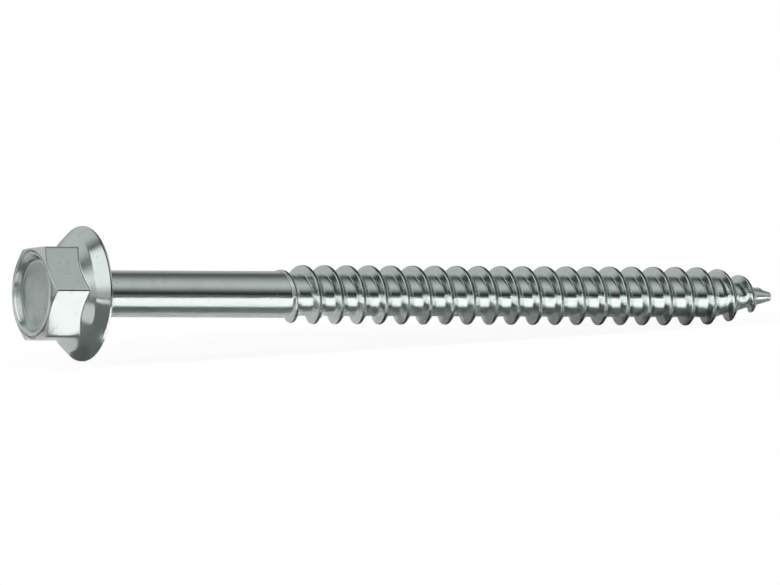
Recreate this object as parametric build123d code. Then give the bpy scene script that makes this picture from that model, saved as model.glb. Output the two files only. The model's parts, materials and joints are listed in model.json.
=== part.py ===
from build123d import *

import os
from math import atan, ceil, cos, degrees, pi, radians, sin, tan

# A hex washer-head lag screw, cold headed and thread rolled from one piece of steel wire.
# It is modelled about its own axis, with the washer's bearing face at 0, the head on the
# negative side and the point at +LENGTH, and is then laid down as it comes to rest.
# All lengths are in millimetres and all angles in degrees.

# ---- length of the stem, measured from the bearing face ------------------------------------
LENGTH = 100.0
SHANK_LENGTH = 28.7
SHANK_DIAMETER = 6.05
UNDERHEAD_CONE = 0.35
ROOT_CONE_LENGTH = 1.0

# ---- wood thread: one right-hand start, steep on the side of the head and flatter towards the point ---
THREAD_LEAD_IN = 1.37
THREAD_DIAMETER = 7.66
ROOT_DIAMETER = 5.5
PITCH = 3.2
CREST_WIDTH = 0.42
HEAD_FLANK_ANGLE = 20.0
POINT_FLANK_ANGLE = 42.0
RUN_OUT_TURNS = 1.3
THREAD_START_ANGLE = 154.7

# ---- gimlet point ---------------------------------------------------------------------------
POINT_LENGTH = 8.5
POINT_TIP_DIAMETER = 1.1
NOSE_LENGTH = 0.3
NOSE_DIAMETER = 0.5
CREST_TAPER_LENGTH = 15.0
CREST_TAPER_POWER = 2.75
THREAD_END_GAP = 1.5
FADE_TURNS = 0.5

# ---- hexagon with its chamfered crown and cup ---------------------------------------------------
ACROSS_FLATS = 11.75
HEAD_HEIGHT = 7.5
CROWN_DIAMETER = 11.5
CHAMFER_ANGLE = 30.0
CUP_DIAMETER = 10.4
CUP_FLOOR_DIAMETER = 9.0
CUP_DEPTH = 0.85
CORNER_TURN = -9.6

# ---- washer flange forged with the head -----------------------------------------------------------
WASHER_DIAMETER = 17.5
WASHER_EDGE = 0.4
RIM_BEVEL = 0.12
SKIRT_HEIGHT = 2.65
SHOULDER_RISE = 0.22
CORNER_MARGIN = 0.05

# ---- how the ridge of the thread is made ------------------------------------------------------------
SPANS_PER_TURN = 4
RIDGE_SINK = 0.3
RUN_OUT_SINK = 0.15
SMALLEST_RADIUS = 0.04
SMALLEST_HEIGHT = 0.06

SHANK_RADIUS = SHANK_DIAMETER / 2
THREAD_RADIUS = THREAD_DIAMETER / 2
ROOT_RADIUS = ROOT_DIAMETER / 2
TIP_RADIUS = POINT_TIP_DIAMETER / 2
WASHER_RADIUS = WASHER_DIAMETER / 2
CORNER_RADIUS = ACROSS_FLATS / 2 / cos(radians(30))
THREAD_START = SHANK_LENGTH - THREAD_LEAD_IN
THREAD_END = LENGTH - THREAD_END_GAP
THREAD_TURNS = (THREAD_END - THREAD_START) / PITCH
POINT_START = LENGTH - POINT_LENGTH


def revolved(*outline):
    """Turn a closed outline of (radius, distance) points about the screw's axis."""
    return revolve(make_face(Plane.XZ * Polyline(*outline, close=True)), Axis.Z)


# ---- stem ---------------------------------------------------------------------------------------


def core_radius(distance):
    """Radius of the stem under the thread, as a distance from the bearing face."""
    if distance <= POINT_START:
        return ROOT_RADIUS
    left = min((LENGTH - distance) / POINT_LENGTH, 1.0)
    return TIP_RADIUS + (ROOT_RADIUS - TIP_RADIUS) * max(left, 0.0)


def stem():
    """Plain shank with a small cone under the head, root cylinder and blunt-nosed point."""
    root_start = SHANK_LENGTH + ROOT_CONE_LENGTH
    nose_start = LENGTH - NOSE_LENGTH
    return revolved(
        (0, 0),
        (SHANK_RADIUS + UNDERHEAD_CONE, 0),
        (SHANK_RADIUS, UNDERHEAD_CONE),
        (SHANK_RADIUS, SHANK_LENGTH),
        (ROOT_RADIUS, root_start),
        (ROOT_RADIUS, POINT_START),
        (core_radius(nose_start), nose_start),
        (NOSE_DIAMETER / 2, LENGTH),
        (0, LENGTH),
    )


# ---- thread ---------------------------------------------------------------------------------------


def crest_radius(turn):
    """Crest radius after this many turns: it rises out of the shank and sinks at the point."""
    distance = THREAD_START + PITCH * turn
    if turn < RUN_OUT_TURNS:
        rise = sin(pi / 2 * max(turn, 0.0) / RUN_OUT_TURNS)
        low = SHANK_RADIUS - RUN_OUT_SINK
        return low + (THREAD_RADIUS - low) * rise
    taper = max(distance - (LENGTH - CREST_TAPER_LENGTH), 0.0) / CREST_TAPER_LENGTH
    radius = THREAD_RADIUS * (1 - min(taper, 1.0) ** CREST_TAPER_POWER)
    fade = min(max((THREAD_TURNS - turn) / FADE_TURNS, 0.0), 1.0)
    core = core_radius(distance)
    return core + (radius - core) * fade - SMALLEST_HEIGHT * (1 - fade)


def ridge_section(turn):
    """Four (radius, distance) corners of the ridge, from its head side to its point side."""
    middle = THREAD_START + PITCH * turn
    base = max(core_radius(middle) - RIDGE_SINK, SMALLEST_RADIUS)
    crest = max(crest_radius(turn), base + SMALLEST_HEIGHT)
    head_side = middle - CREST_WIDTH / 2
    point_side = middle + CREST_WIDTH / 2
    height = crest - base
    return [
        (base, head_side - height * tan(radians(HEAD_FLANK_ANGLE))),
        (crest, head_side),
        (crest, point_side),
        (base, point_side + height * tan(radians(POINT_FLANK_ANGLE))),
    ]


def ridge_point(corner, turn):
    """Where one corner of the ridge is after this many turns."""
    radius, distance = ridge_section(turn)[corner]
    angle = radians(THREAD_START_ANGLE) + 2 * pi * turn
    return Vector(radius * cos(angle), radius * sin(angle), distance)


def ridge_edge(corner, start, end):
    """A stretch of helix along one corner of the ridge, as a cubic curve."""
    step = (end - start) / 1000
    first = ridge_point(corner, start)
    last = ridge_point(corner, end)
    leaving = (ridge_point(corner, start + step) - first) / step
    arriving = (last - ridge_point(corner, end - step)) / step
    span = 2 * pi * (end - start)
    handle = 4 / 3 * tan(span / 4) / (2 * pi)
    return Edge.make_bezier(first, first + leaving * handle, last - arriving * handle, last)


def ridge_end(turn):
    """Flat face that closes the ridge where it is buried in the stem."""
    corners = [ridge_point(corner, turn) for corner in range(4)]
    return Face(Wire.make_polygon(corners, close=True))


def thread_ridge():
    """The helical ridge, with ruled faces between its four edges and its base in the stem."""
    spans = ceil(THREAD_TURNS * SPANS_PER_TURN)
    faces = [ridge_end(0.0), ridge_end(THREAD_TURNS)]
    for index in range(spans):
        start = THREAD_TURNS * index / spans
        end = THREAD_TURNS * (index + 1) / spans
        edges = [ridge_edge(corner, start, end) for corner in range(4)]
        for corner in range(4):
            neighbour = edges[(corner + 1) % 4]
            faces.append(Face.make_surface_from_curves(edges[corner], neighbour))
    return Solid(Shell(faces))


# ---- head ---------------------------------------------------------------------------------------


def washer():
    """Washer flange: a thin bevelled rim, a steep skirt and a low shoulder round the hexagon."""
    skirt_radius = CORNER_RADIUS + CORNER_MARGIN
    shoulder = SKIRT_HEIGHT + SHOULDER_RISE
    return revolved(
        (0, 0),
        (WASHER_RADIUS - RIM_BEVEL, 0),
        (WASHER_RADIUS, -RIM_BEVEL),
        (WASHER_RADIUS, -WASHER_EDGE),
        (skirt_radius, -SKIRT_HEIGHT),
        (ACROSS_FLATS / 2, -shoulder),
        (0, -shoulder),
    )


def hexagon():
    """Hexagonal prism with its corners chamfered by a cone and the cup pressed into its top."""
    blank = Pos(0, 0, -HEAD_HEIGHT) * extrude(
        RegularPolygon(CORNER_RADIUS, 6, rotation=CORNER_TURN), HEAD_HEIGHT
    )
    reach = CORNER_RADIUS + 1
    drop = (reach - CROWN_DIAMETER / 2) * tan(radians(CHAMFER_ANGLE))
    crown = revolved(
        (0, 0),
        (reach, 0),
        (reach, -HEAD_HEIGHT + drop),
        (CROWN_DIAMETER / 2, -HEAD_HEIGHT),
        (0, -HEAD_HEIGHT),
    )
    cup = revolved(
        (0, -HEAD_HEIGHT),
        (CUP_DIAMETER / 2, -HEAD_HEIGHT),
        (CUP_FLOOR_DIAMETER / 2, -HEAD_HEIGHT + CUP_DEPTH),
        (0, -HEAD_HEIGHT + CUP_DEPTH),
    )
    return (blank & crown) - cup


def head():
    """Hexagon and washer flange in one."""
    return washer() + hexagon()


# ---- the whole screw, at rest -----------------------------------------------------------------------


def rest_tilt():
    """How far the axis dips towards the point, with the washer's rim and one crest on the floor."""
    turns_to_floor = ((90 - THREAD_START_ANGLE) / 360) % 1.0
    slopes = []
    turn = turns_to_floor
    while turn < THREAD_TURNS:
        reach = THREAD_START + PITCH * turn + CREST_WIDTH / 2 + RIM_BEVEL
        slopes.append((WASHER_RADIUS - crest_radius(turn)) / reach)
        turn += 1.0
    return degrees(atan(min(slopes)))


def lag_screw():
    """The finished screw about its own axis."""
    return head() + stem() + thread_ridge()


def laid_down(screw):
    """The screw on its side: head towards -X, point towards +X, lowest point on Z = 0."""
    front_first = Plane(origin=(0, 0, 0), x_dir=(0, -1, 0), z_dir=(1, 0, 0))
    lying = Rot(0, rest_tilt(), 0) * (front_first.location * screw)
    box = lying.bounding_box()
    centre = box.center()
    return Pos(-centre.X, -centre.Y, -box.min.Z) * lying


os.makedirs("parts", exist_ok=True)
export_step(laid_down(lag_screw()), "parts/lag_screw.step")
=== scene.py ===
"""A bright zinc-plated lag screw with a hex washer head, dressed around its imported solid.

The screw is one closed skin in three stretches that share their rings: the forged head, the plain
shank and the rolled thread with its gimlet point. Its sizes are in millimetres about its own axis,
with the washer's bearing face at 0, the head on the negative side and the point on the positive
side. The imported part's mounts say where that axis lies.
"""

import json
import logging
from dataclasses import dataclass, field
from enum import Enum
from math import cos, pi, radians, sin, sqrt, tan

import bpy
import numpy as np
from mathutils import Matrix, Vector


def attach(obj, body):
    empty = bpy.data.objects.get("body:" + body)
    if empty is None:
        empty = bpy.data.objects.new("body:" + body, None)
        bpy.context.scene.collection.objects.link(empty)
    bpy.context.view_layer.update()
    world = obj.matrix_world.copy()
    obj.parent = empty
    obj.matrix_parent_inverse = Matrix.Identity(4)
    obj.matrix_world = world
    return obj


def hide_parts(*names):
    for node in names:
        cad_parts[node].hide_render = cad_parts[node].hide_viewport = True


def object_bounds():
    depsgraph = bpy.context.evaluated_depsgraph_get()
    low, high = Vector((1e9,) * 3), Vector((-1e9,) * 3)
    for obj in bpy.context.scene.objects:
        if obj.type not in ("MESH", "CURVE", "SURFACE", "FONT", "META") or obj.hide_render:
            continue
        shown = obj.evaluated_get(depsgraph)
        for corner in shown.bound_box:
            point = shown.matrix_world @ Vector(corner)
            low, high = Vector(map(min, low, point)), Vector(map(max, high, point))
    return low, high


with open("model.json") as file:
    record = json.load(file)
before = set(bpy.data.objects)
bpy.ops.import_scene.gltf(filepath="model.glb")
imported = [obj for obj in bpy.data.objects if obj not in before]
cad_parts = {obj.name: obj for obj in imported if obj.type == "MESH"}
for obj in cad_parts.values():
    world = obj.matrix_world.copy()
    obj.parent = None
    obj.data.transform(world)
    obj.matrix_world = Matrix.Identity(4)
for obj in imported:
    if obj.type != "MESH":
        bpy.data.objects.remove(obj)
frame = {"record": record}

MM = 0.001
CAD_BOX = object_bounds()
LOG = logging.getLogger("lag_screw")

Node = bpy.types.Node
Socket = bpy.types.NodeSocket
Length = float | np.ndarray
Value = float | tuple | Socket


class Zone(Enum):
    """Stretches of the screw that come from different tools and so have different finishes; the cup's darker colour is
    painted shade in the recess.
    """

    ROLLED = 0
    FORGED = 1
    CUPPED = 2


# ---- outlines ---------------------------------------------------------------------------------


@dataclass
class Outline:
    """An open line of (radius, distance) corners, each of which may differ from column to column."""

    corners: list[tuple] = field(default_factory=list)
    setbacks: list[float] = field(default_factory=list)
    steps: list[int] = field(default_factory=list)
    fills: list[int] = field(default_factory=list)

    def to(self, radius: Length, distance: Length, setback: float = 0.0, steps: int = 3, fill: int = 0) -> None:
        """Go on to the next corner.

        Args:
            radius: Distance from the axis, a number or one for each column.
            distance: Distance along the axis, a number or one for each column.
            setback: How far from the corner its rounding starts; 0 keeps it sharp.
            steps: Segments in the rounding.
            fill: Extra points on the straight run that leads here.
        """
        self.corners.append((radius, distance))
        self.setbacks.append(setback)
        self.steps.append(steps)
        self.fills.append(fill)

    def points(self, columns: int) -> np.ndarray:
        """The rounded outline.

        Args:
            columns: Number of columns round the axis.

        Returns:
            An array of shape (points, 2, columns) with the radius and the distance.
        """
        given = np.array([[np.broadcast_to(value, columns) for value in corner] for corner in self.corners], float)
        line = [given[0]]
        for index in range(1, len(given)):
            here, start = given[index], line[-1]
            rounded = self.setbacks[index] > 0 and index < len(given) - 1
            arrive, leave = self._rounding_ends(given, index) if rounded else (here, here)
            runs = self.fills[index] + 1
            line.extend(start + (arrive - start) * (k / runs) for k in range(1, runs))
            line.append(arrive)
            shares = np.arange(1, self.steps[index] + 1) / self.steps[index] if rounded else []
            line.extend(arrive * (1 - t) ** 2 + here * 2 * t * (1 - t) + leave * t**2 for t in shares)
        return np.array(line)

    def _rounding_ends(self, given: np.ndarray, index: int) -> tuple[np.ndarray, np.ndarray]:
        """Where the rounding of one corner starts and ends, kept clear of its neighbours'.

        Args:
            given: The corners, of shape (corners, 2, columns).
            index: Which corner is rounded.

        Returns:
            The two ends, each of shape (2, columns).
        """
        ends = []
        for other in (index - 1, index + 1):
            way = given[other] - given[index]
            length = np.maximum(np.hypot(way[0], way[1]), 1e-9)
            reach = np.minimum(self.setbacks[index], 0.45 * length)
            ends.append(given[index] + way * (reach / length))
        return ends[0], ends[1]


# ---- skin ---------------------------------------------------------------------------------------


@dataclass
class Skin:
    """Vertices and faces of one closed mesh, in millimetres, with a zone for each face."""

    vertices: list[np.ndarray] = field(default_factory=list)
    faces: list[tuple] = field(default_factory=list)
    zones: list[int] = field(default_factory=list)
    crest: list[np.ndarray] = field(default_factory=list)
    count: int = 0

    def add_points(self, radius: Length, angle: Length, distance: Length) -> np.ndarray:
        """Add points given about the axis.

        Args:
            radius: Distance from the axis of each point.
            angle: Angle about the axis of each point, in radians.
            distance: Distance along the axis of each point.

        Returns:
            The new vertices' numbers, in the shape that the arguments have together.
        """
        radius, angle, distance = np.broadcast_arrays(radius, angle, distance)
        place = np.stack([radius * np.cos(angle), radius * np.sin(angle), distance], -1)
        numbers = self.count + np.arange(radius.size).reshape(radius.shape)
        self.vertices.append(place.reshape(-1, 3))
        self.count += radius.size
        return numbers

    def add_centre(self, distance: float) -> int:
        """Add one vertex on the axis and give its number."""
        return int(self.add_points(np.zeros(1), np.zeros(1), distance)[0])

    def quads(self, zone: Zone, *corners: np.ndarray) -> None:
        """Add a face for each set of four corners.

        Args:
            zone: The faces' zone.
            corners: Four arrays of vertex numbers, one for each corner of the faces.
        """
        rows = np.stack([np.ravel(corner) for corner in corners], 1)
        self.faces.extend(map(tuple, rows.tolist()))
        self.zones.extend([zone.value] * len(rows))

    def band(self, zone: Zone, lower: np.ndarray, upper: np.ndarray) -> None:
        """Join two closed rings that have as many vertices as each other."""
        self.quads(zone, lower, np.roll(lower, -1), np.roll(upper, -1), upper)

    def fan(self, zone: Zone, centre: int, path: list[int]) -> None:
        """Join one vertex to each step of a path."""
        self.faces.extend((int(centre), int(first), int(second)) for first, second in zip(path[:-1], path[1:]))
        self.zones.extend([zone.value] * (len(path) - 1))

    def build(self, name: str, materials: list[bpy.types.Material], placement: Matrix) -> bpy.types.Object:
        """Make the mesh object, with smooth normals weighted by area and a mask of its convex edges.

        Args:
            name: The piece's name.
            materials: One material for each zone, in the order of Zone.
            placement: Where the screw's own axes lie in the row frame, in metres.

        Returns:
            The new object, whose vertices are in the row frame and keep their own place as an attribute.
        """
        mesh = bpy.data.meshes.new(name)
        place = np.concatenate(self.vertices)
        turn, shift = np.array(placement.to_3x3()), np.array(placement.translation)
        mesh.from_pydata(((place * MM) @ turn.T + shift).tolist(), [], self.faces)
        own = mesh.attributes.new("own_place", "FLOAT_VECTOR", "POINT")
        own.data.foreach_set("vector", place.astype(np.float32).ravel())
        crest = np.zeros(len(place), np.float32)
        crest[np.concatenate(self.crest)] = 1
        mesh.attributes.new("thread_crest", "FLOAT", "POINT").data.foreach_set("value", crest)
        for material in materials:
            mesh.materials.append(material)
        mesh.polygons.foreach_set("material_index", self.zones)
        mesh.polygons.foreach_set("use_smooth", [True] * len(self.faces))
        if self._volume(mesh) < 0:
            mesh.flip_normals()
        normals = self._normals(mesh)
        self._mark_edges(mesh, place, normals @ turn)
        mesh.normals_split_custom_set_from_vertices(normals.tolist())
        mesh.update()
        made = bpy.data.objects.new(name, mesh)
        bpy.context.scene.collection.objects.link(made)
        return made

    @staticmethod
    def _triangles(mesh: bpy.types.Mesh) -> tuple[np.ndarray, np.ndarray]:
        """The mesh as triangles.

        Args:
            mesh: Any mesh.

        Returns:
            The vertices' places, and three vertex numbers for each triangle.
        """
        mesh.calc_loop_triangles()
        corners = np.zeros(len(mesh.loop_triangles) * 3, np.int32)
        mesh.loop_triangles.foreach_get("vertices", corners)
        place = np.zeros(len(mesh.vertices) * 3)
        mesh.vertices.foreach_get("co", place)
        return place.reshape(-1, 3), corners.reshape(-1, 3)

    def _volume(self, mesh: bpy.types.Mesh) -> float:
        """Signed volume, which is negative when the faces look inwards.

        Args:
            mesh: A closed mesh.

        Returns:
            The volume in the mesh's own unit.
        """
        place, corners = self._triangles(mesh)
        a, b, c = (place - place.mean(0))[corners].transpose(1, 0, 2)
        return float((a * np.cross(b, c)).sum() / 6)

    def _normals(self, mesh: bpy.types.Mesh) -> np.ndarray:
        """Vertex normals in which a large face counts for more than a narrow one beside it.

        Args:
            mesh: A mesh whose faces look outwards.

        Returns:
            One unit vector for each vertex.
        """
        place, corners = self._triangles(mesh)
        a, b, c = place[corners].transpose(1, 0, 2)
        weighted = np.cross(b - a, c - a)
        normals = np.zeros((len(mesh.vertices), 3))
        for k in range(3):
            np.add.at(normals, corners[:, k], weighted)
        return normals / np.maximum(np.linalg.norm(normals, axis=1, keepdims=True), 1e-20)

    @staticmethod
    def _mark_edges(mesh: bpy.types.Mesh, place: np.ndarray, normals: np.ndarray) -> None:
        """Store how sharply the skin bends outwards at each vertex, per millimetre, as an attribute.

        Args:
            mesh: The screw's mesh.
            place: Its vertices about the screw's own axis, in millimetres.
            normals: Its vertex normals about the same axis.
        """
        ends = np.zeros(len(mesh.edges) * 2, np.int32)
        mesh.edges.foreach_get("vertices", ends)
        first, second = ends.reshape(-1, 2).T
        step = place[second] - place[first]
        square = np.maximum((step**2).sum(1), 1e-6)
        bend = ((normals[second] - normals[first]) * step).sum(1) / square
        sharpest = np.zeros(len(place))
        for end in (first, second):
            np.maximum.at(sharpest, end, bend)
        mesh.attributes.new("edge_bend", "FLOAT", "POINT").data.foreach_set("value", sharpest.astype(np.float32))


# ---- screw ----------------------------------------------------------------------------------------


@dataclass
class HexWasherHead:
    """Hexagon with a chamfered crown and a cup in its top, on a washer flange, forged in one."""

    across_flats: float = 11.75
    height: float = 7.5
    corner_rounding: float = 0.5
    corner_turn: float = -9.6
    crown_diameter: float = 11.5
    chamfer_angle: float = 30.0
    cup_diameter: float = 10.4
    cup_floor_diameter: float = 9.0
    cup_depth: float = 0.85
    washer_diameter: float = 17.5
    washer_edge: float = 0.3
    skirt_height: float = 1.8
    shoulder_rise: float = 1.0
    corner_margin: float = 0.68
    fillet_radius: float = 3.375
    fillet_lead: float = 0.3
    bearing_ring_insets: tuple = (3.0, 1.6)
    cup_middle: float = 0.5
    cup_rows: int = 13
    column_offsets: tuple = (0.0, 0.6, 1.2, 1.8, 2.5, 4.0, 7.0, 11.0, 15.5, 20.0, 25.0, 30.0)

    def corner_radius(self) -> float:
        """Distance of the sharp corners from the axis."""
        return self.across_flats / 2 / cos(radians(30))

    def column_angles(self) -> np.ndarray:
        """Angle about the axis of each column, in degrees, closest where the corners are rounded."""
        sector = np.array([-offset for offset in self.column_offsets[-2:0:-1]] + list(self.column_offsets))
        return np.concatenate([self.corner_turn + 60 * k + sector for k in range(6)])

    def even_angles(self) -> np.ndarray:
        """As many angles as there are columns, evenly spaced and as near them as can be."""
        angles = self.column_angles()
        return angles[0] + np.arange(len(angles)) * 360 / len(angles)

    def fillet_start(self, shank_radius: float) -> float:
        """Distance from the bearing face of the shank's ring where the fillet starts."""
        return self.fillet_radius - shank_radius + self.fillet_lead

    def hexagon_radius(self, angles: np.ndarray) -> np.ndarray:
        """Radius of the hexagon with its rounded corners.

        Args:
            angles: Angles about the axis, in degrees.

        Returns:
            The radius at each angle.
        """
        off = np.radians((angles - self.corner_turn + 30) % 60 - 30)
        flat = self.across_flats / 2 / np.cos(radians(30) - np.abs(off))
        centre = self.corner_radius() - self.corner_rounding / cos(radians(30))
        inside = np.maximum(self.corner_rounding**2 - (centre * np.sin(off)) ** 2, 0)
        rounded = centre * np.cos(off) + np.sqrt(inside)
        touches = np.abs(centre * np.sin(off)) < self.corner_rounding * sin(radians(30))
        return np.where(touches, np.minimum(flat, rounded), flat)

    def outline(self, hexagon: np.ndarray) -> np.ndarray:
        """Outline from the bearing face over the flange and up the hexagon into the cup.

        Args:
            hexagon: Radius of the hexagon at each column.

        Returns:
            An array of shape (points, 2, columns), whose last rows are the cup's.
        """
        skirt = self.corner_radius() + self.corner_margin
        slope = self.shoulder_rise / (skirt - self.across_flats / 2)
        shoulder = -self.skirt_height - (skirt - hexagon) * slope
        crown = self.crown_diameter / 2
        chamfer = -self.height + (hexagon - crown) * tan(radians(self.chamfer_angle))
        cup_floor = -self.height + self.cup_depth
        rim = self.washer_diameter / 2
        line = Outline()
        line.to(rim - self.bearing_ring_insets[1], 0.0)
        line.to(rim, 0.0, setback=0.14, steps=5, fill=1)
        line.to(rim, -self.washer_edge, setback=0.12, steps=5)
        line.to(skirt, -self.skirt_height, setback=0.12, steps=5, fill=4)
        line.to(hexagon, shoulder, setback=0.12, steps=5, fill=2)
        line.to(hexagon, chamfer, setback=0.08, steps=4, fill=3)
        line.to(crown, -self.height, setback=0.38, steps=5, fill=2)
        line.to(self.cup_diameter / 2, -self.height, setback=0.1, steps=4, fill=1)
        line.to(self.cup_floor_diameter / 2, cup_floor, setback=0.4, steps=6, fill=2)
        line.to(self.cup_middle, cup_floor, fill=3)
        return line.points(len(hexagon))

    def add_to(self, skin: Skin, shank_ring: np.ndarray, shank_radius: float) -> None:
        """Add the head above the shank's first ring.

        Args:
            skin: The screw's skin.
            shank_ring: Vertices of the ring where the fillet under the head starts.
            shank_radius: Radius of that ring.
        """
        fillet = Outline()
        fillet.to(shank_radius, self.fillet_start(shank_radius))
        fillet.to(shank_radius, 0.0, setback=self.fillet_radius - shank_radius, steps=6)
        fillet.to(self.washer_diameter / 2 - self.bearing_ring_insets[0], 0.0)
        angles, even = np.radians(self.column_angles()), np.radians(self.even_angles())
        last = shank_ring
        for radius, distance in fillet.points(len(even))[1:]:
            ring = skin.add_points(radius, even, distance)
            skin.band(Zone.ROLLED, ring, last)
            last = ring
        points = self.outline(self.hexagon_radius(self.column_angles()))
        for index, (radius, distance) in enumerate(points):
            ring = skin.add_points(radius, angles, distance)
            skin.band(Zone.CUPPED if index > len(points) - self.cup_rows else Zone.FORGED, ring, last)
            last = ring
        skin.fan(Zone.CUPPED, skin.add_centre(-self.height + self.cup_depth), [last[0], *last[::-1]])


@dataclass
class Stem:
    """Plain shank, root cylinder and the cone of the point, under the thread."""

    length: float = 100.0
    shank_length: float = 28.7
    shank_diameter: float = 6.05
    root_cone_length: float = 1.0
    root_diameter: float = 5.5
    point_length: float = 8.5
    tip_diameter: float = 1.1
    nose_length: float = 0.3

    def radius(self, distance: np.ndarray) -> np.ndarray:
        """Radius of the stem under the thread.

        Args:
            distance: Distances from the bearing face.

        Returns:
            The radius at each of them.
        """
        root_start = self.shank_length + self.root_cone_length
        stations = [self.shank_length, root_start, self.length - self.point_length, self.length]
        diameters = [self.shank_diameter, self.root_diameter, self.root_diameter, self.tip_diameter]
        return np.interp(distance, stations, [diameter / 2 for diameter in diameters])


@dataclass
class WoodThread:
    """One-start right-hand thread that rises out of the shank and sinks into the point."""

    stem: Stem
    lead_in: float = 1.37
    diameter: float = 7.66
    pitch: float = 3.2
    crest_width: float = 0.42
    head_flank_angle: float = 20.0
    point_flank_angle: float = 42.0
    run_out_turns: float = 1.3
    run_out_sink: float = 0.15
    start_angle: float = 154.7
    taper_length: float = 15.0
    taper_power: float = 3.6
    end_gap: float = 0.4
    fade_turns: float = 0.3
    root_fillet: float = 0.1
    crest_rounding: float = 0.12
    foot_gap: float = 0.02
    plain_turns: float = 0.5
    plain_lead: float = 0.6
    extra_columns: int = 3
    # These pick the crest vertices, which carry both the dull line that rolling leaves and a painted shade.
    seam_and_shade_share: float = 0.985
    seam_and_shade_least_rise: float = 0.25
    squeeze_start: float = 2.6
    squeeze_room: float = 2.2
    dome_shares: tuple = (0.35, 0.6, 0.8, 0.93)

    def start(self) -> float:
        """Distance at which the middle of the ridge starts."""
        return self.stem.shank_length - self.lead_in

    def turns(self) -> float:
        """Number of turns of the ridge."""
        return (self.stem.length - self.end_gap - self.start()) / self.pitch

    def crest_radius(self, turn: np.ndarray) -> np.ndarray:
        """Radius of the crest.

        Args:
            turn: Numbers of turns from the start.

        Returns:
            The radius after each of them.
        """
        low = self.stem.shank_diameter / 2 - self.run_out_sink
        rise = np.sin(pi / 2 * np.clip(turn / self.run_out_turns, 0, 1))
        distance = self.start() + self.pitch * turn
        past = distance - (self.stem.length - self.taper_length)
        taper = np.clip(past / self.taper_length, 0, 1) ** self.taper_power
        radius = (low + (self.diameter / 2 - low) * rise) * (1 - taper)
        fade = np.clip((self.turns() - turn) / self.fade_turns, 0, 1)
        core = self.stem.radius(distance)
        return core + (radius - core) * fade

    def ribbon(self, turn: np.ndarray) -> tuple[np.ndarray, np.ndarray]:
        """One pitch of the surface beside each point of the helix.

        Args:
            turn: Numbers of turns.

        Returns:
            The radius and the distance of the ribbon's points, each of shape (points, turns).
        """
        middle = self.start() + self.pitch * turn
        height = np.maximum(self.crest_radius(turn) - self.stem.radius(middle), 0.0)
        half = self.crest_width / 2
        foot = half + self.foot_gap
        line = Outline()
        line.to(0.0, -self.pitch / 2)
        line.to(0.0, -foot - height * tan(radians(self.head_flank_angle)), setback=self.root_fillet, fill=1)
        line.to(height, -half, setback=self.crest_rounding, fill=1)
        line.to(height, half, setback=self.crest_rounding, fill=1)
        line.to(0.0, foot + height * tan(radians(self.point_flank_angle)), setback=self.root_fillet, fill=2)
        line.to(0.0, self.pitch / 2)
        rise, along = line.points(len(turn)).transpose(1, 0, 2)
        distance = self.squeezed(middle + along)
        return self.stem.radius(distance) + rise, distance

    def squeezed(self, distance: np.ndarray) -> np.ndarray:
        """Draw in the distances that would pass the tip.

        Args:
            distance: Distances from the bearing face.

        Returns:
            The same distances, with the last ones ending just short of the tip.
        """
        free = self.stem.length - self.squeeze_start
        past = np.maximum(distance - free, 0.0)
        return np.minimum(distance, free) + self.squeeze_room * (1 - np.exp(-past / self.squeeze_room))

    def add_to(self, skin: Skin, columns: int, first_angle: float) -> np.ndarray:
        """Add the threaded stretch and the tip.

        Args:
            skin: The screw's skin.
            columns: Number of steps in one turn.
            first_angle: Angle of the shank's first column, in degrees.

        Returns:
            The vertices of the ring on the plain shank where the stretch starts.
        """
        step = 360 / columns
        lag = round((first_angle - self.start_angle) / step) * step - (first_angle - self.start_angle)
        last = int(self.turns() * columns) + self.extra_columns
        angle = self.start_angle - lag + np.arange(-round(self.plain_turns * columns), last + 1) * step
        radius, distance = self.ribbon((angle - self.start_angle) / 360)
        numbers = skin.add_points(radius[:-1], np.radians(angle)[None], distance[:-1])
        rise = radius[:-1] - self.stem.radius(distance[:-1])
        on_crest = (rise > self.seam_and_shade_share * rise.max(0)) & (rise.max(0) > self.seam_and_shade_least_rise)
        skin.crest.append(numbers[on_crest])
        tail = skin.add_points(radius[-1, -columns:], np.radians(angle[-columns:]), distance[-1, -columns:])
        grid = np.vstack([numbers, np.concatenate([numbers[0, columns:], tail])])
        skin.quads(Zone.ROLLED, grid[:-1, :-1], grid[:-1, 1:], grid[1:, 1:], grid[1:, :-1])
        ring = np.arange(columns) * step
        plain = self.stem.shank_diameter / 2
        shank = skin.add_points(plain, np.radians(first_angle + ring), distance[0, 0] - self.plain_lead)
        shift = round((angle[0] - first_angle) / step) % columns
        self._close_start(skin, grid, np.roll(shank, -shift))
        self._close_end(skin, grid, np.radians(angle[-1] + ring))
        return shank

    def _close_start(self, skin: Skin, grid: np.ndarray, ring: np.ndarray) -> None:
        """Join the ribbon's first turn to a ring across the axis.

        Args:
            skin: The screw's skin.
            grid: Vertices of the ribbon, of shape (points, turns).
            ring: Vertices of the ring, starting at the ribbon's first angle.
        """
        edge = grid[0, : len(ring)]
        skin.quads(Zone.ROLLED, ring[:-1], ring[1:], edge[1:], edge[:-1])
        skin.fan(Zone.ROLLED, ring[-1], [ring[0], *grid[:, 0], edge[-1]])

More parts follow.
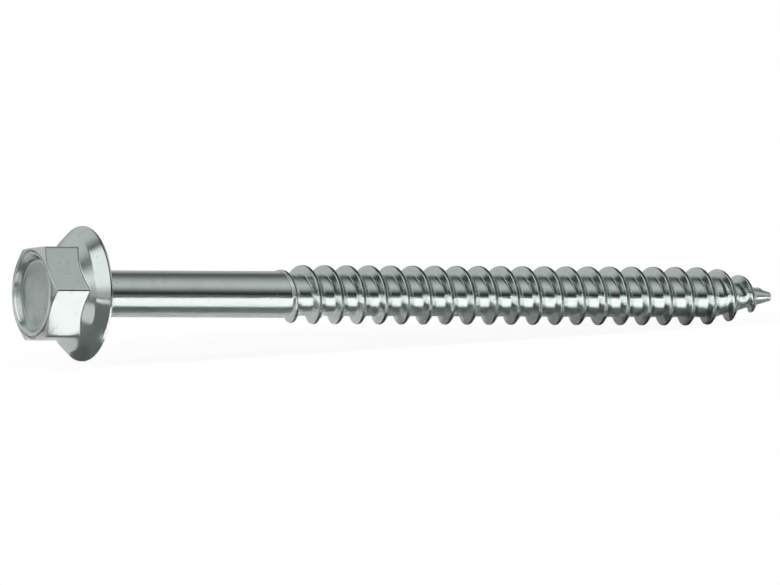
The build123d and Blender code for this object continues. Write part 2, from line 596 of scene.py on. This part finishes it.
    def _close_end(self, skin: Skin, grid: np.ndarray, angles: np.ndarray) -> None:
        """Join the ribbon's last turn to a ring at the tip and close that with a small dome.

        Args:
            skin: The screw's skin.
            grid: Vertices of the ribbon, of shape (points, turns).
            angles: Angles of the ring's vertices from the ribbon's last one on, in radians.
        """
        start = self.stem.length - self.stem.nose_length
        radius = float(self.stem.radius(start))
        ring = skin.add_points(radius, angles, start)
        edge = grid[-1, -len(ring) :]
        skin.quads(Zone.ROLLED, edge[:-1], edge[1:], np.roll(ring, -2)[:-1], ring[1:])
        skin.fan(Zone.ROLLED, ring[1], [ring[0], *grid[::-1, -1], edge[0]])
        for share in self.dome_shares:
            new = skin.add_points(radius * sqrt(1 - share**2), angles, start + self.stem.nose_length * share)
            skin.band(Zone.ROLLED, ring, new)
            ring = new
        skin.fan(Zone.ROLLED, skin.add_centre(self.stem.length), [*ring, ring[0]])


@dataclass
class LagScrew:
    """The whole screw as one piece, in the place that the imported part's mounts give."""

    name: str = "zinc_lag_screw"
    head: HexWasherHead = field(default_factory=HexWasherHead)
    thread: WoodThread = field(default_factory=lambda: WoodThread(Stem()))
    shank_rings: int = 8
    shank_gap: float = 1.2

    def placement(self) -> Matrix:
        """The screw's own axes in the row frame, read from the mount on top of the hexagon.

        Returns:
            The placement, in metres.
        """
        mounts = {mount["name"]: mount for mount in frame["record"]["mounts"]}
        top = mounts["hex_head"]
        along = -Vector(top["axis"]).normalized()
        side = Vector((0, -1, 0))
        origin = Vector(top["pos_m"]) + along * self.head.height * MM
        turn = Matrix((side, along.cross(side), along)).transposed().to_4x4()
        return Matrix.Translation(origin) @ turn

    def build(self, materials: list[bpy.types.Material]) -> bpy.types.Object:
        """Build the skin, dress it and let it ride on the part's body.

        Args:
            materials: One material for each zone, in the order of Zone.

        Returns:
            The screw's object.
        """
        skin = Skin()
        even = self.head.even_angles()
        radius = self.thread.stem.shank_diameter / 2
        ring = self.thread.add_to(skin, len(even), even[0])
        ring = self._plain_shank(skin, ring, np.radians(even), radius)
        self.head.add_to(skin, ring, radius)
        screw = skin.build(self.name, materials, self.placement())
        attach(screw, "root")
        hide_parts("lag_screw")
        LOG.info("%s: %d faces", screw.name, len(screw.data.polygons))
        return screw

    def _plain_shank(self, skin: Skin, ring: np.ndarray, angles: np.ndarray, radius: float) -> np.ndarray:
        """Rings of the plain shank from the thread up to the fillet under the head.

        Args:
            skin: The screw's skin.
            ring: Vertices of the ring where the threaded stretch starts.
            angles: Angles of the rings' vertices, in radians.
            radius: Radius of the shank.

        Returns:
            The vertices of the last ring.
        """
        begin = self.thread.start() - self.thread.pitch * (1 + self.thread.plain_turns) - self.shank_gap
        for distance in np.linspace(begin, self.head.fillet_start(radius), self.shank_rings):
            new = skin.add_points(radius, angles, distance)
            skin.band(Zone.ROLLED, new, ring)
            ring = new
        return ring


# ---- shader groups ----------------------------------------------------------------------------------


class NodeSheet:
    """A node tree with short ways to add and link nodes."""

    def __init__(self, tree: bpy.types.NodeTree) -> None:
        """Work on this tree."""
        self.tree = tree

    def add(self, kind: str, settings: dict | None = None, **inputs: Value) -> Node:
        """Add a node.

        Args:
            kind: The node's type.
            settings: Properties of the node.
            inputs: Sockets by name, with underscores for spaces, each a value or a socket to link.

        Returns:
            The new node.
        """
        node = self.tree.nodes.new(kind)
        for key, value in (settings or {}).items():
            setattr(node, key, value)
        for key, value in inputs.items():
            self.feed(node.inputs[key.replace("_", " ")], value)
        return node

    def feed(self, socket: Socket, value: Value) -> None:
        """Link a socket to another or set its value.

        Args:
            socket: The input to feed.
            value: Another node's output, or a plain value.
        """
        if isinstance(value, Socket):
            self.tree.links.new(value, socket)
        else:
            socket.default_value = value

    def math(self, operation: str, *values: Value, clamp: bool = False) -> Socket:
        """Do one sum.

        Args:
            operation: The sum's name.
            values: Up to three numbers or sockets.
            clamp: Whether the result is kept between 0 and 1.

        Returns:
            The result.
        """
        node = self.add("ShaderNodeMath", {"operation": operation, "use_clamp": clamp})
        for socket, value in zip(node.inputs, values):
            self.feed(socket, value)
        return node.outputs[0]

    def between(self, value: Value, low: float, high: float) -> Socket:
        """Turn a value into a mask.

        Args:
            value: A number or a socket.
            low: Where the mask is still 0.
            high: Where the mask is 1, after a smooth rise.

        Returns:
            The mask.
        """
        node = self.add("ShaderNodeMapRange", {"interpolation_type": "SMOOTHSTEP"})
        for socket, given in zip(node.inputs, (value, low, high, 0.0, 1.0)):
            self.feed(socket, given)
        return node.outputs[0]

    def until(self, value: Value, low: float, high: float) -> Socket:
        """The opposite mask, which is 1 below low and 0 above high."""
        return self.math("SUBTRACT", 1.0, self.between(value, low, high))

    def mix(self, share: Value, first: Value, second: Value) -> Socket:
        """Mix two colours.

        Args:
            share: How much of the second colour there is.
            first: A colour of three numbers, or a socket.
            second: A colour of three numbers, or a socket.

        Returns:
            The mixed colour.
        """
        node = self.add("ShaderNodeMix", {"data_type": "RGBA"})
        self.feed(node.inputs[0], share)
        for socket, given in zip((node.inputs[6], node.inputs[7]), (first, second)):
            self.feed(socket, given if isinstance(given, Socket) else (*given, 1))
        return node.outputs[2]


class SurfaceGroup:
    """A shader node group made once and placed in each material that uses it."""

    name = ""
    inputs: tuple = ()
    outputs: tuple = ()

    def tree(self) -> bpy.types.NodeTree:
        """Find the group, or make it on first use.

        Returns:
            The group's tree.
        """
        found = bpy.data.node_groups.get(self.name)
        if found:
            return found
        made = bpy.data.node_groups.new(self.name, "ShaderNodeTree")
        for label, kind, value in self.inputs:
            socket = made.interface.new_socket(label, in_out="INPUT", socket_type=kind)
            if value is not None:
                socket.default_value = value
        for label, kind in self.outputs:
            made.interface.new_socket(label, in_out="OUTPUT", socket_type=kind)
        sheet = NodeSheet(made)
        entry = sheet.add("NodeGroupInput")
        leave = sheet.add("NodeGroupOutput")
        for label, value in self.draw(sheet, entry).items():
            sheet.feed(leave.inputs[label], value)
        return made

    def draw(self, sheet: NodeSheet, entry: Node) -> dict[str, Socket]:
        """Draw the group's nodes and return its outputs by name."""
        raise NotImplementedError

    def place(self, sheet: NodeSheet, **inputs: Value) -> Node:
        """Put the group into a material with its own values."""
        return sheet.add("ShaderNodeGroup", {"node_tree": self.tree()}, **inputs)


FLOAT, VECTOR = "NodeSocketFloat", "NodeSocketVector"


class PlatedSkin(SurfaceGroup):
    """The soft unevenness of zinc plate: a slow swell, a fine orange peel and a cloudy haze."""

    name = "plated_skin"
    inputs = (("Place", VECTOR, None), ("Swell Size", FLOAT, 2.5), ("Peel Size", FLOAT, 0.35))
    outputs = (("Swell", FLOAT), ("Peel", FLOAT), ("Haze", FLOAT))
    haze_limits = (0.38, 0.66)

    def draw(self, sheet: NodeSheet, entry: Node) -> dict[str, Socket]:
        """Draw three noises; the haze is the slow one with its contrast raised.

        Args:
            sheet: The group's tree.
            entry: Its input node.

        Returns:
            The outputs by name.
        """
        place = entry.outputs["Place"]
        slow = sheet.math("DIVIDE", 1.0, entry.outputs["Swell Size"])
        fine = sheet.math("DIVIDE", 1.0, entry.outputs["Peel Size"])
        swell = sheet.add("ShaderNodeTexNoise", Vector=place, Scale=slow, Detail=1.0, Roughness=0.4)
        peel = sheet.add("ShaderNodeTexNoise", Vector=place, Scale=fine, Detail=3.0, Roughness=0.55)
        cloud = sheet.add("ShaderNodeTexNoise", Vector=place, Scale=slow, Detail=6.0, Roughness=0.62, Distortion=0.4)
        haze = sheet.between(cloud.outputs[0], *self.haze_limits)
        return {"Swell": swell.outputs[0], "Peel": peel.outputs[0], "Haze": haze}


class ToolLines(SurfaceGroup):
    """Fine uneven lines that a die or a roll leaves across one direction."""

    name = "tool_lines"
    inputs = (("Along", FLOAT, 0.0), ("Place", VECTOR, None), ("Spacing", FLOAT, 0.12), ("Breaks", FLOAT, 1.5))
    outputs = (("Lines", FLOAT),)
    worn_limits = (0.35, 0.65)

    def draw(self, sheet: NodeSheet, entry: Node) -> dict[str, Socket]:
        """Draw a noise that changes quickly in one direction only, broken up by a slower one.

        Args:
            sheet: The group's tree.
            entry: Its input node.

        Returns:
            The outputs by name.
        """
        one_way = {"noise_dimensions": "1D"}
        rate = sheet.math("DIVIDE", entry.outputs["Along"], entry.outputs["Spacing"])
        lines = sheet.add("ShaderNodeTexNoise", one_way, W=rate, Scale=1.0, Detail=3.0, Roughness=0.7)
        scale = sheet.math("DIVIDE", 1.0, entry.outputs["Breaks"])
        breaks = sheet.add("ShaderNodeTexNoise", Vector=entry.outputs["Place"], Scale=scale, Detail=2.0)
        worn = sheet.between(breaks.outputs[0], *self.worn_limits)
        return {"Lines": sheet.math("MULTIPLY", sheet.math("SUBTRACT", lines.outputs[0], 0.5), worn)}


class HandlingMarks(SurfaceGroup):
    """Small pits and short nicks from barrel plating, where screws knock against each other."""

    name = "handling_marks"
    inputs = (("Place", VECTOR, None), ("Size", FLOAT, 0.5), ("Share", FLOAT, 0.12))
    outputs = (("Pits", FLOAT), ("Nicks", FLOAT))
    pit_limits = (0.05, 0.22)
    nick_limits = (0.0, 0.025)
    rare_limits = (0.62, 0.72)
    nick_turn = (0.4, 0.3, 0.9)
    nick_stretch = (1.0, 0.12, 0.6)

    def draw(self, sheet: NodeSheet, entry: Node) -> dict[str, Socket]:
        """Draw a pit in the few cells whose random value is under the share, and nicks in rare areas.

        Args:
            sheet: The group's tree.
            entry: Its input node.

        Returns:
            The outputs by name.
        """
        place = entry.outputs["Place"]
        scale = sheet.math("DIVIDE", 1.0, entry.outputs["Size"])
        cells = sheet.add("ShaderNodeTexVoronoi", Vector=place, Scale=scale, Randomness=1.0)
        value = sheet.add("ShaderNodeSeparateColor", Color=cells.outputs["Color"]).outputs[0]
        chosen = sheet.math("LESS_THAN", value, entry.outputs["Share"])
        near = sheet.until(cells.outputs["Distance"], *self.pit_limits)
        way = sheet.add("ShaderNodeMapping", Vector=place, Rotation=self.nick_turn, Scale=self.nick_stretch).outputs[0]
        cuts = sheet.add("ShaderNodeTexVoronoi", {"feature": "DISTANCE_TO_EDGE"}, Vector=way, Scale=scale)
        thin = sheet.until(cuts.outputs["Distance"], *self.nick_limits)
        gate = sheet.add("ShaderNodeTexNoise", Vector=place, Scale=0.6, Detail=1.0)
        rare = sheet.between(gate.outputs[0], *self.rare_limits)
        return {"Pits": sheet.math("MULTIPLY", near, chosen), "Nicks": sheet.math("MULTIPLY", thin, rare)}


class BurnishedEdges(SurfaceGroup):
    """Mask of the edges that rub on other screws, broken up a little."""

    name = "burnished_edges"
    inputs = (("Bend", FLOAT, 0.0), ("Place", VECTOR, None), ("Sharpest", FLOAT, 6.0))
    outputs = (("Edges", FLOAT),)
    broken_limits = (0.3, 0.55)

    def draw(self, sheet: NodeSheet, entry: Node) -> dict[str, Socket]:
        """Draw the bend of the skin against the sharpest that counts, times a noise.

        Args:
            sheet: The group's tree.
            entry: Its input node.

        Returns:
            The outputs by name.
        """
        share = sheet.math("DIVIDE", entry.outputs["Bend"], entry.outputs["Sharpest"], clamp=True)
        noise = sheet.add("ShaderNodeTexNoise", Vector=entry.outputs["Place"], Scale=1.3, Detail=4.0)
        broken = sheet.between(noise.outputs[0], *self.broken_limits)
        return {"Edges": sheet.math("MULTIPLY", share, broken)}


class RollingSeamAndCrestShade(SurfaceGroup):
    """The crest's mask: the dull line that thread rolling leaves along a crest, where the metal closes from both
    sides, and the painted shade laid along the crests.
    """

    name = "rolling_seam_and_crest_shade"
    inputs = (("Crest", FLOAT, 0.0), ("Place", VECTOR, None))
    outputs = (("Seam", FLOAT),)
    crest_limits = (0.3, 1.0)
    worn_limits = (0.3, 0.6)
    least_kept = 0.7

    def draw(self, sheet: NodeSheet, entry: Node) -> dict[str, Socket]:
        """Draw the crest's mask, worn thinner in places by a noise.

        Args:
            sheet: The group's tree.
            entry: Its input node.

        Returns:
            The outputs by name.
        """
        noise = sheet.add("ShaderNodeTexNoise", Vector=entry.outputs["Place"], Scale=0.9, Detail=5.0, Roughness=0.6)
        worn = sheet.between(noise.outputs[0], *self.worn_limits)
        kept = sheet.math("MULTIPLY_ADD", worn, 1 - self.least_kept, self.least_kept)
        return {"Seam": sheet.math("MULTIPLY", sheet.between(entry.outputs["Crest"], *self.crest_limits), kept)}


# ---- finishes -------------------------------------------------------------------------------------


@dataclass(frozen=True)
class ZincFinish:
    """Bright zinc plate over steel as one tool left it, with its depths in millimetres, and a near-black painted shade
    along the thread's crests.
    """

    name: str
    colour: tuple
    haze_colour: tuple
    edge_colour: tuple = (0.93, 0.95, 0.945)
    pit_colour: tuple = (0.36, 0.39, 0.38)
    roughness: float = 0.13
    haze_roughness: float = 0.05
    nick_roughness: float = 0.2
    swell_size: float = 2.6
    swell_depth: float = 0.004
    peel_size: float = 0.3
    peel_depth: float = 0.0006
    line_spacing: float = 0.12
    line_depth: float = 0.0004
    mark_share: float = 0.06
    pit_depth: float = 0.0025
    nick_depth: float = 0.0004
    # Painted shade: the thread's crests are darkened almost to black.
    crest_painted_shade_colour: tuple = (0.18, 0.2, 0.195)
    seam_roughness: float = 0.3

    def build(self) -> bpy.types.Material:
        """Make the material.

        Returns:
            The material, whose nodes work in millimetres about the screw's own axis.
        """
        material = bpy.data.materials.new(self.name)
        material.use_nodes = True
        material.node_tree.nodes.clear()
        sheet = NodeSheet(material.node_tree)
        place = sheet.add("ShaderNodeAttribute", {"attribute_name": "own_place"}).outputs["Vector"]
        along = sheet.add("ShaderNodeSeparateXYZ", Vector=place).outputs[2]
        plate = PlatedSkin().place(sheet, Place=place, Swell_Size=self.swell_size, Peel_Size=self.peel_size).outputs
        lines = ToolLines().place(sheet, Along=along, Place=place, Spacing=self.line_spacing).outputs["Lines"]
        marks = HandlingMarks().place(sheet, Place=place, Share=self.mark_share).outputs
        bend = sheet.add("ShaderNodeAttribute", {"attribute_name": "edge_bend"}).outputs["Fac"]
        edges = BurnishedEdges().place(sheet, Bend=bend, Place=place).outputs["Edges"]
        crest = sheet.add("ShaderNodeAttribute", {"attribute_name": "thread_crest"}).outputs["Fac"]
        seam_and_shade = RollingSeamAndCrestShade().place(sheet, Crest=crest, Place=place).outputs["Seam"]
        hazy = sheet.mix(plate["Haze"], self.colour, self.haze_colour)
        plated = sheet.mix(edges, sheet.mix(marks["Pits"], hazy, self.pit_colour), self.edge_colour)
        rough = ((plate["Haze"], self.haze_roughness), (lines, self.haze_roughness))
        rough += ((marks["Nicks"], self.nick_roughness), (seam_and_shade, self.seam_roughness))
        relief = ((plate["Peel"], self.peel_depth), (lines, self.line_depth))
        relief += ((marks["Pits"], -self.pit_depth), (marks["Nicks"], -self.nick_depth))
        height = self._total(sheet, sheet.math("MULTIPLY", plate["Swell"], self.swell_depth), relief)
        bump = sheet.add("ShaderNodeBump", Strength=1.0, Distance=MM, Height=height)
        shader = sheet.add("ShaderNodeBsdfPrincipled", Metallic=1.0, Normal=bump.outputs[0])
        # Painted shade: the crests' colour is mixed towards near black; only their raised roughness is the rolled
        # metal's own dullness.
        sheet.feed(shader.inputs["Base Color"], sheet.mix(seam_and_shade, plated, self.crest_painted_shade_colour))
        sheet.feed(shader.inputs["Roughness"], self._total(sheet, self.roughness, rough))
        sheet.add("ShaderNodeOutputMaterial", Surface=shader.outputs[0])
        LOG.info("finish %s", self.name)
        return material

    @staticmethod
    def _total(sheet: NodeSheet, total: Value, parts: tuple) -> Value:
        """Add up a start value and several effects.

        Args:
            sheet: The material's tree.
            total: The start value, a number or a socket.
            parts: Pairs of an effect's socket and the amount that it counts for.

        Returns:
            The sum.
        """
        for effect, amount in parts:
            total = sheet.math("MULTIPLY_ADD", effect, amount, total)
        return total


ROLLED_ZINC = ZincFinish("rolled_zinc", colour=(0.85, 0.91, 0.888), haze_colour=(0.81, 0.87, 0.848))
FORGED_ZINC = ZincFinish(
    "forged_zinc",
    colour=(0.92, 0.975, 0.955),
    haze_colour=(0.88, 0.935, 0.915),
    roughness=0.12,
    swell_size=3.2,
    swell_depth=0.006,
    line_spacing=0.3,
)
# Painted shade: the cup's colours are darker than the forged head's so that the recess looks shaded; its roughness and
# relief are its own finish.
CUPPED_ZINC_PAINTED_SHADE = ZincFinish(
    "cupped_zinc_painted_shade",
    colour=(0.71, 0.775, 0.75),
    haze_colour=(0.65, 0.71, 0.69),
    roughness=0.2,
    haze_roughness=0.08,
    peel_depth=0.0015,
    line_spacing=0.4,
)


# ---- studio -----------------------------------------------------------------------------------------


@dataclass(frozen=True)
class TableLamp:
    """A shaded lamp, itself unseen, that lights one rectangle of the table to a level."""

    name: str
    centre: tuple
    size: tuple
    level: float
    lean: float = 0.0
    turn: float = 0.0
    height: float = 0.1
    spread: float = 2.0

    def build(self, floor_grey: float) -> None:
        """Hang the lamp.

        Args:
            floor_grey: How much light the table gives back.
        """
        lean = radians(self.lean)
        data = bpy.data.lights.new(self.name, "AREA")
        data.shape = "RECTANGLE"
        data.size, data.size_y = self.size[0], self.size[1] * cos(lean)
        data.spread = radians(self.spread)
        data.energy = self.level * pi * self.size[0] * self.size[1] / floor_grey
        lamp = bpy.data.objects.new(self.name, data)
        bpy.context.scene.collection.objects.link(lamp)
        lamp.location = Vector((*self.centre, 0)) + Vector((0, sin(lean), cos(lean))) * self.height
        lamp.rotation_euler = (-lean, 0, radians(self.turn))
        lamp.visible_glossy = False
        lamp.visible_camera = False


@dataclass
class Table:
    """Pale matt table with the lamps over it.

    Only the camera sees it as plain white, and close to the screw to the share of camera_white.
    Metal and glass mirror the matt table with its lit patches, and none of that white.
    """

    size: float = 6.0
    grey: float = 0.45
    grain: float = 0.02
    grain_scale: float = 900.0
    camera_white: float = 0.94
    shadow_squeeze: tuple = (0.4, 1.0, 0.0)
    shadow_limits: tuple = (0.012, 0.028)
    lamps: tuple = (
        TableLamp("front_strip", (0.03025, -0.0181), (0.1595, 0.0265), 1.3, turn=2.2),
        TableLamp("rear_patch", (0.025, 0.07), (0.17, 0.12), 0.36, lean=45.0),
        TableLamp("shank_patch", (-0.0325, 0.0045), (0.055, 0.011), 0.36, lean=45.0),
        TableLamp("thread_patch", (0.035, 0.003), (0.08, 0.014), 0.11, lean=45.0),
        TableLamp("rear_head_patch", (-0.125, 0.1), (0.15, 0.12), 0.41),
        TableLamp("head_patch", (-0.145, -0.08), (0.09, 0.06), 0.75),
        TableLamp("flange_patch", (-0.088, -0.006), (0.055, 0.011), 0.45),
    )

    def build(self) -> None:
        """Lay the table and hang its lamps."""
        half = self.size / 2
        corners = [(-half, -half, 0), (half, -half, 0), (half, half, 0), (-half, half, 0)]
        mesh = bpy.data.meshes.new("studio_floor")
        mesh.from_pydata(corners, [], [(0, 1, 2, 3)])
        floor = bpy.data.objects.new("studio_floor", mesh)
        bpy.context.scene.collection.objects.link(floor)
        mesh.materials.append(self._material())
        for lamp in self.lamps:
            lamp.build(self.grey)

    def _material(self) -> bpy.types.Material:
        """Make the table's material, with less of the camera's white close by, where the shadow falls.

        Returns:
            The material.
        """
        material = bpy.data.materials.new("floor_white")
        material.use_nodes = True
        material.node_tree.nodes.clear()
        sheet = NodeSheet(material.node_tree)
        place = sheet.add("ShaderNodeTexCoord").outputs["Object"]
        noise = sheet.add("ShaderNodeTexNoise", Vector=place, Scale=self.grain_scale, Detail=2.0)
        darkest, palest = (self.grey - self.grain,) * 3, (self.grey + self.grain,) * 3
        matt = sheet.add("ShaderNodeBsdfDiffuse", Color=sheet.mix(noise.outputs[0], darkest, palest))
        white = sheet.add("ShaderNodeEmission", Color=(1, 1, 1, 1), Strength=1.0)
        squeezed = sheet.add("ShaderNodeVectorMath", {"operation": "MULTIPLY"})
        sheet.feed(squeezed.inputs[0], place)
        sheet.feed(squeezed.inputs[1], self.shadow_squeeze)
        reach = sheet.add("ShaderNodeVectorMath", {"operation": "LENGTH"}, Vector=squeezed.outputs[0])
        far = sheet.between(reach.outputs["Value"], *self.shadow_limits)
        plain = sheet.math("MULTIPLY_ADD", far, 1 - self.camera_white, self.camera_white)
        path = sheet.add("ShaderNodeLightPath")
        seen = sheet.math("MULTIPLY", path.outputs["Is Camera Ray"], plain)
        both = sheet.add("ShaderNodeMixShader", Fac=seen)
        sheet.feed(both.inputs[1], matt.outputs[0])
        sheet.feed(both.inputs[2], white.outputs[0])
        sheet.add("ShaderNodeOutputMaterial", Surface=both.outputs[0])
        return material


@dataclass
class StudioSky:
    """Soft boxes, walls and dark gaps round the table. Each pair of limits is where a mask rises."""

    arch: tuple = (
        (0, 0.024), (9, 0.024), (15, 0.06), (25, 0.22), (36, 0.42), (47, 0.5), (57, 0.51), (70, 0.43), (84, 0.32),
        (95, 0.2), (106, 0.125), (120, 0.09), (131, 0.19), (141, 0.31), (151, 0.47), (165, 0.45), (180, 0.3),
    )
    tint: tuple = (0.95, 1.02, 1.0)
    end_wall: tuple = (0.36, 0.38, 0.37)
    end_limits: tuple = (0.7, 0.98)
    back_wall: tuple = ((0.3, 0.32, 0.31), (0.44, 0.47, 0.46))
    back_left: tuple = (-0.1, 0.2)
    back_inward: tuple = (0.08, 0.34)
    back_fade: tuple = (0.3, 0.6)
    front_gap: tuple = (0.036, 0.038, 0.037)
    gap_across: tuple = (0.18, 0.36)
    gap_inward: tuple = (0.15, 0.48)
    side_box: tuple = ((0.34, 0.36, 0.35), (0.8, 0.84, 0.83))
    box_left: tuple = (0.38, 0.54)
    box_inward: tuple = (0.04, 0.3)
    box_upward: tuple = (0.08, 0.36)

    def build(self) -> None:
        """Make the world from the arch over the table, the walls, the gap ahead and the box at the left."""
        world = bpy.data.worlds.new("studio_sky")
        bpy.context.scene.world = world
        world.use_nodes = True
        world.node_tree.nodes.clear()
        sheet = NodeSheet(world.node_tree)
        way = sheet.add("ShaderNodeTexCoord").outputs["Generated"]
        across, inward, upward = sheet.add("ShaderNodeSeparateXYZ", Vector=way).outputs
        left = sheet.math("MULTIPLY", across, -1.0)
        angle = sheet.math("ARCTAN2", upward, sheet.math("MULTIPLY", inward, -1.0))
        ramp = sheet.add("ShaderNodeValToRGB", Fac=sheet.math("DIVIDE", angle, pi, clamp=True))
        self._fill_arch(ramp.color_ramp)
        colour = sheet.mix(sheet.between(across, *self.end_limits), ramp.outputs[0], self.end_wall)
        behind = sheet.math("MULTIPLY", sheet.between(left, *self.back_left), sheet.between(inward, *self.back_inward))
        colour = sheet.mix(behind, colour, sheet.mix(sheet.between(inward, *self.back_fade), *self.back_wall))
        gap = sheet.math("MULTIPLY", sheet.until(across, *self.gap_across), sheet.until(inward, *self.gap_inward))
        colour = sheet.mix(gap, colour, self.front_gap)
        box = sheet.math("MULTIPLY", sheet.between(left, *self.box_left), sheet.until(inward, *self.box_inward))
        colour = sheet.mix(box, colour, sheet.mix(sheet.between(upward, *self.box_upward), *self.side_box))
        light = sheet.add("ShaderNodeBackground", Color=colour, Strength=1.0)
        sheet.add("ShaderNodeOutputWorld", Surface=light.outputs[0])

    def _fill_arch(self, ramp: bpy.types.ColorRamp) -> None:
        """Set the brightness from the front horizon over the top to the back horizon.

        Args:
            ramp: The ramp to fill, with a place for each angle in degrees.
        """
        while len(ramp.elements) < len(self.arch):
            ramp.elements.new(0.5)
        for element, (angle, level) in zip(ramp.elements, self.arch):
            element.position = angle / 180
            element.color = (*(level * share for share in self.tint), 1)


@dataclass
class StudioCamera:
    """A long lens from the head's side, a little above the table, aimed beside the part's middle."""

    lens: float = 1100.0
    sensor: float = 36.0
    view_width: float = 0.10134
    azimuth: float = -26.5
    elevation: float = 6.7
    aim: tuple = (-1.62, -2.26)
    clip: tuple = (0.1, 20.0)

    def build(self) -> None:
        """Set up the camera."""
        data = bpy.data.cameras.new("camera")
        data.lens = self.lens
        data.sensor_width = self.sensor
        data.clip_start, data.clip_end = self.clip
        camera = bpy.data.objects.new("camera", data)
        bpy.context.scene.collection.objects.link(camera)
        a, e = radians(self.azimuth), radians(self.elevation)
        back = Vector((sin(a) * cos(e), -cos(a) * cos(e), sin(e)))
        right = Vector((cos(a), sin(a), 0))
        low, high = CAD_BOX
        target = (low + high) / 2 + (right * self.aim[0] + back.cross(right) * self.aim[1]) * MM
        camera.location = target + back * (self.view_width * self.lens / self.sensor)
        camera.rotation_mode = "QUATERNION"
        camera.rotation_quaternion = (-back).to_track_quat("-Z", "Y")
        bpy.context.scene.camera = camera


def main() -> None:
    """Build the screw and the studio."""
    logging.basicConfig(level=logging.INFO, format="%(message)s")
    finishes = {Zone.ROLLED: ROLLED_ZINC, Zone.FORGED: FORGED_ZINC, Zone.CUPPED: CUPPED_ZINC_PAINTED_SHADE}
    LagScrew().build([finishes[zone].build() for zone in Zone])
    for piece in (Table(), StudioSky(), StudioCamera()):
        piece.build()
        LOG.info("studio: %s", type(piece).__name__)
    bpy.context.scene.view_settings.view_transform = "Standard"


if __name__ == "__main__":
    main()
